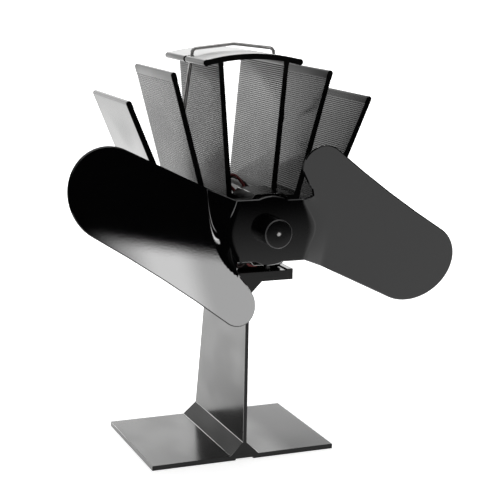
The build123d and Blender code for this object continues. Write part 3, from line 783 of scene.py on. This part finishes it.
def fan_blade(sizes, colours):
    """The pressed sheet: its outline comes from the frame, and its bends are rounded."""
    shape = BladeShape(sizes)
    bm = merged_copy("fan_blade")
    back = [face for face in bm.faces if face.normal.y > FRONT_NORMAL]
    bmesh.ops.delete(bm, geom=back, context="FACES")
    bmesh.ops.translate(bm, vec=(0, -BLADE_Y, -SHAFT_Z), verts=bm.verts)
    bmesh.ops.scale(bm, vec=(1.0, 0.0, 1.0), verts=bm.verts)
    merge_faces(bm, FLAT_SHEET_BEND)
    strips = bm.faces.layers.int.new("strip")
    rim = bmesh.ops.inset_region(
        bm, faces=bm.faces[:], thickness=sizes.rim, use_boundary=True, use_even_offset=True
    )
    for face in rim["faces"]:
        face[strips] = 1
    outline = [vert for vert in bm.verts if vert.is_boundary]
    bmesh.ops.translate(bm, vec=(0, sizes.rim, 0), verts=outline)
    walls = bmesh.ops.extrude_face_region(bm, geom=bm.faces[:], use_keep_orig=True)
    moved = [part for part in walls["geom"] if isinstance(part, bmesh.types.BMVert)]
    bmesh.ops.scale(bm, vec=(1.0, 0.0, 1.0), verts=moved)
    bmesh.ops.translate(bm, vec=(0, sizes.sheet, 0), verts=moved)
    bmesh.ops.recalc_face_normals(bm, faces=bm.faces)
    half = evenly(*BEND_CUTS) + evenly(*LOBE_CUTS)
    cut_across(bm, [side * x * MM for side in (-1, 1) for x in half], 0)
    cut_across(bm, [z * MM for z in evenly(*LEVEL_CUTS)], 2)
    for vert in bm.verts:
        vert.co.y += shape.depth(vert.co.x / MM, vert.co.z / MM) * MM
    bmesh.ops.translate(bm, vec=(0, BLADE_Y, SHAFT_Z), verts=bm.verts)
    piece = piece_from(bm, "pressed_blade", "rotor", smooth=50.0)
    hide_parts("fan_blade")
    dress(piece, "blade_black", colours)


def turned(profile, centre_z, segments):
    """Ring or rod spun round the fan's axis from pairs of radius and depth."""
    bm = bmesh.new()
    points = [bm.verts.new((radius, y, centre_z)) for radius, y in profile]
    edges = [bm.edges.new(pair) for pair in zip(points, points[1:])]
    bmesh.ops.spin(
        bm,
        geom=points + edges,
        cent=(0.0, 0.0, centre_z),
        axis=(0.0, 1.0, 0.0),
        angle=2 * pi,
        steps=segments,
        use_merge=True,
    )
    bmesh.ops.remove_doubles(bm, verts=bm.verts, dist=WELD)
    bmesh.ops.recalc_face_normals(bm, faces=bm.faces)
    return bm


def rounded(radius, y, edge, turns=6):
    """Profile points of a rounded outer edge at a front face."""
    return [
        (radius - edge + edge * sin(pi / 2 * i / turns), y + edge - edge * cos(pi / 2 * i / turns))
        for i in range(turns + 1)
    ]


def hub_and_shaft(sizes, colours):
    """The hub with its rounded front edge, and the shaft whose end shows in it."""
    outer, spigot = HUB_HIGH.x, sizes.spigot
    bore, chamfer = sizes.hub_bore, sizes.hub_chamfer
    profile = [
        (bore, HUB_HIGH.y),
        (bore, HUB_LOW.y + chamfer),
        (bore + chamfer, HUB_LOW.y),
        *rounded(outer, HUB_LOW.y, sizes.hub_edge),
        (outer, BLADE_Y),
        (spigot, BLADE_Y),
        (spigot, HUB_HIGH.y),
        (bore, HUB_HIGH.y),
    ]
    hub = piece_from(turned(profile, SHAFT_Z, HUB_SEGMENTS), "turned_hub", "rotor", smooth=28.0)
    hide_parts("fan_hub")
    dress(hub, "gloss_black", colours)
    radius, tip = SHAFT_HIGH.x, sizes.shaft_chamfer
    front, back = SHAFT_LOW.y + SHAFT_SET_BACK, SHAFT_HIGH.y
    rod = [
        (0.0, SHAFT_LOW.y + CENTRE_MARK_DEPTH),
        (CENTRE_MARK_RADIUS, front),
        (radius - tip, front),
        (radius, front + tip),
        (radius, back - tip),
        (radius - tip, back),
        (0.0, back),
    ]
    shaft = piece_from(turned(rod, SHAFT_Z, SHAFT_SEGMENTS), "turned_shaft", "rotor")
    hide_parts("motor_shaft")
    dress(shaft, "polished_steel", colours)


def heat_sink(sizes, colours):
    """The finned extrusion with broken ends, which keeps how far each rib stands out."""

    def at_an_end(edge):
        ends = (SINK_LOW.y, SINK_HIGH.y)
        return any(all(abs(vert.co.y - y) < AT_END for vert in edge.verts) for y in ends)

    bm = merged_copy("heat_sink")
    broken(bm, sizes.wire_edge, segments=1, wanted=at_an_end)
    raised = bm.verts.layers.float.new("raised")
    for vert in bm.verts:
        bends = [
            edge.calc_face_angle_signed(0.0)
            for edge in vert.link_edges
            if len(edge.link_faces) == 2
            and abs(edge.verts[0].co.y - edge.verts[1].co.y) > sizes.edge
        ]
        vert[raised] = max(-1.0, min(1.0, sum(bends) / RIB_BEND))
    finished(bm, "heat_sink", colours)


def grey(level):
    """A colour without a tint."""
    return (level, level, level)


def floor_finish(studio_sizes):
    """Pale floor that glows more behind the fan and fades out in front of it."""
    pale = Finish("floor", Roughness=0.7, Emission_Strength=studio_sizes.floor_glow)
    fade = studio_sizes.floor_front
    depth = pale.place("Y")
    dim = depth.step(*DIM_BEHIND) * pale.place("X").fall(*DIM_LEFT)
    rise = depth.step(*GLOW_RISE) - dim * DIM_SHARE
    glow = pale.mix(rise, grey(GLOW_NEAR), grey(GLOW_FAR))
    pale.paint(
        Base_Color=pale.mix(pale.noise(size=40.0), grey(0.80), grey(0.82)),
        Emission_Color=pale.mix(depth.near(*STRIP), glow, grey(GLOW_STRIP)),
        Alpha=depth.step(*[fade * share for share in FLOOR_FADE]),
    )
    return pale.material


def add_floor(studio_sizes):
    """Flat floor under the fan."""
    bm = bmesh.new()
    bmesh.ops.create_grid(bm, x_segments=1, y_segments=1, size=1.0)
    front, back = studio_sizes.floor_front * FLOOR_REACH, studio_sizes.floor_back
    bmesh.ops.scale(bm, vec=(studio_sizes.floor_side, (front + back) / 2, 1.0), verts=bm.verts)
    bmesh.ops.translate(bm, vec=(0.0, (back - front) / 2, 0.0), verts=bm.verts)
    mesh = bpy.data.meshes.new("floor")
    bm.to_mesh(mesh)
    bm.free()
    floor = bpy.data.objects.new("floor", mesh)
    bpy.context.scene.collection.objects.link(floor)
    floor.data.materials.append(floor_finish(studio_sizes))


def studio(studio_sizes):
    """Pale floor, white backdrop, soft light and the camera."""
    bpy.context.scene.view_settings.view_transform = "Standard"
    add_floor(studio_sizes)
    white_world(studio_sizes)
    add_softbox(studio_sizes)
    add_camera(studio_sizes)


def white_world(studio_sizes):
    """White backdrop behind, soft light overhead and a dark room in front."""
    world = bpy.data.worlds.new("studio")
    bpy.context.scene.world = world
    world.use_nodes = True
    room = Nodes(world.node_tree)
    direction = room.add("ShaderNodeTexCoord").outputs["Generated"]
    parts = room.add("ShaderNodeSeparateXYZ", inputs={0: direction})
    right, back, up = [Level(room, parts.outputs[axis]) for axis in "XYZ"]

    # Backdrop: brighter on the right, with a low light on the left
    across = right.step(*BACKDROP_RIGHT) * (studio_sizes.backdrop - studio_sizes.backdrop_left)
    low = up.fall(*LOW_LIGHT_TOP) * right.fall(*LOW_LIGHT_RIGHT) * studio_sizes.low_left
    level = across + low + studio_sizes.backdrop_left
    behind = back.step(*BACKDROP_BACK) * up.fall(*BACKDROP_TOP) * level
    overhead = up.step(*CEILING) * studio_sizes.ceiling

    # Window: its edges slant, and a streak in it is brighter
    edges = (up + right * WINDOW_TOP_SLANT).fall(*WINDOW_TOP) * up.step(*WINDOW_SILL)
    left_side = (right + back * WINDOW_LEFT_SLANT).step(*WINDOW_LEFT)
    right_side = (right + back * WINDOW_RIGHT_SLANT).fall(*WINDOW_RIGHT)
    streak = (right + back * STREAK_SLANT).near(*STREAK) * studio_sizes.streak
    pane = edges * (left_side * right_side) * back.step(*WINDOW_NEAR)
    window = pane * (streak + studio_sizes.window)

    # Narrow lights in front
    lamp = right.near(*LAMP_ACROSS) * up.step(*LAMP_FOOT) * up.fall(*LAMP_TOP)
    gap = right.near(*GAP_ACROSS) * up.near(*GAP_HEIGHT)
    narrow = (lamp * LAMP_LEVEL + gap * GAP_LEVEL) * back.fall(*ROOM_IN_FRONT)

    # What the camera sees straight is an even white
    bright = behind.or_more(overhead) + window + narrow
    seen = Level(room, room.add("ShaderNodeLightPath").outputs["Is Camera Ray"])
    strength = seen * SEEN_LEVEL + (1.0 - seen) * bright
    background = room.add(
        "ShaderNodeBackground", inputs={"Color": (1.0, 1.0, 1.0, 1.0), "Strength": strength}
    )
    room.add("ShaderNodeOutputWorld", inputs={"Surface": background.outputs[0]})


def add_softbox(studio_sizes):
    """Soft light straight above."""
    light = bpy.data.lights.new("softbox", "AREA")
    light.shape = "SQUARE"
    light.size = studio_sizes.softbox_size
    light.energy = studio_sizes.softbox
    softbox = bpy.data.objects.new("softbox", light)
    softbox.location = (0.0, 0.0, studio_sizes.softbox_height)
    bpy.context.scene.collection.objects.link(softbox)


def add_camera(studio_sizes):
    """Camera at the photograph's place."""
    data = bpy.data.cameras.new("camera")
    data.lens = studio_sizes.lens
    data.sensor_width = 36.0
    data.sensor_fit = "HORIZONTAL"
    data.clip_start, data.clip_end = 0.01, 100.0
    camera = bpy.data.objects.new("camera", data)
    bpy.context.scene.collection.objects.link(camera)
    azimuth, elevation, roll = studio_sizes.azimuth, studio_sizes.elevation, studio_sizes.roll
    back = Vector((sin(azimuth) * cos(elevation), -cos(azimuth) * cos(elevation), sin(elevation)))
    aim = Vector((studio_sizes.aim_x, FOOT_Y, studio_sizes.aim_z))
    right = (-back).cross(Vector((0.0, 0.0, 1.0))).normalized()
    up = right.cross(-back)
    across = right * cos(roll) + up * sin(roll)
    upwards = up * cos(roll) - right * sin(roll)
    turn = Matrix((across, upwards, back)).transposed()
    camera.matrix_world = Matrix.Translation(aim + back * studio_sizes.distance) @ turn.to_4x4()
    bpy.context.scene.camera = camera


class FAN_OT_studio(Operator):
    """Sets the floor, the backdrop, the lights and the camera"""

    bl_idname = "fan.studio"
    bl_label = "Studio"

    def execute(self, context):
        studio(context.scene.fan_studio)
        return {"FINISHED"}


class FAN_OT_blade(Operator):
    """Presses the blade with its two rounded bends on each side"""

    bl_idname = "fan.blade"
    bl_label = "Blade"

    def execute(self, context):
        fan_blade(context.scene.fan_sizes, context.scene.fan_colours)
        return {"FINISHED"}


class FAN_OT_hub(Operator):
    """Turns the hub and the shaft"""

    bl_idname = "fan.hub"
    bl_label = "Hub and shaft"

    def execute(self, context):
        hub_and_shaft(context.scene.fan_sizes, context.scene.fan_colours)
        return {"FINISHED"}


class FAN_OT_extrusions(Operator):
    """Breaks the edges of the heat sink, the stand and the motor housing"""

    bl_idname = "fan.extrusions"
    bl_label = "Heat sink, stand and housing"

    def execute(self, context):
        sizes, colours = context.scene.fan_sizes, context.scene.fan_colours
        softened("stand", colours, sizes.edge)
        softened("motor_housing", colours, sizes.housing_edge, finish="housing_black")
        heat_sink(sizes, colours)
        return {"FINISHED"}


class FAN_OT_wires(Operator):
    """Finishes the carrying handle and the two leads"""

    bl_idname = "fan.wires"
    bl_label = "Carrying handle and leads"

    def execute(self, context):
        for node in ("carry_handle", "red_lead", "black_lead"):
            finished(joined_copy(node), node, context.scene.fan_colours, smooth=60.0)
        return {"FINISHED"}


class FAN_OT_small_parts(Operator):
    """Finishes the generator, the motor's pieces and the screws"""

    bl_idname = "fan.small_parts"
    bl_label = "Generator, motor and screws"

    def execute(self, context):
        sizes, colours = context.scene.fan_sizes, context.scene.fan_colours
        for node in frame["nodes"]:
            if not frame["nodes"][node].hide_render:
                softened(node, colours, sizes.wire_edge, segments=1, least_angle=50.0)
        return {"FINISHED"}


class FAN_PT_sidebar(Panel):
    """Lists the steps that dress the fan"""

    bl_label = "Stove fan"
    bl_space_type = "VIEW_3D"
    bl_region_type = "UI"
    bl_category = "Stove fan"

    def draw(self, context):
        for step in STEPS:
            self.layout.operator(step.bl_idname)


STEPS = (
    FAN_OT_studio,
    FAN_OT_blade,
    FAN_OT_hub,
    FAN_OT_extrusions,
    FAN_OT_wires,
    FAN_OT_small_parts,
)
GROUPS = {"fan_sizes": FanSizes, "fan_colours": FanColours, "fan_studio": StudioSizes}


def register():
    """Registers the groups, the steps and the panel."""
    for name, group in GROUPS.items():
        bpy.utils.register_class(group)
        setattr(bpy.types.Scene, name, PointerProperty(type=group))
    for step in STEPS:
        bpy.utils.register_class(step)
    bpy.utils.register_class(FAN_PT_sidebar)


def unregister():
    """Takes the groups, the steps and the panel away again."""
    bpy.utils.unregister_class(FAN_PT_sidebar)
    for step in reversed(STEPS):
        bpy.utils.unregister_class(step)
    for name, group in reversed(GROUPS.items()):
        delattr(bpy.types.Scene, name)
        bpy.utils.unregister_class(group)


def main():
    """Dresses the fan."""
    register()
    bpy.ops.fan.studio()
    bpy.ops.fan.blade()
    bpy.ops.fan.hub()
    bpy.ops.fan.extrusions()
    bpy.ops.fan.wires()
    bpy.ops.fan.small_parts()


if __name__ == "__main__":
    main()
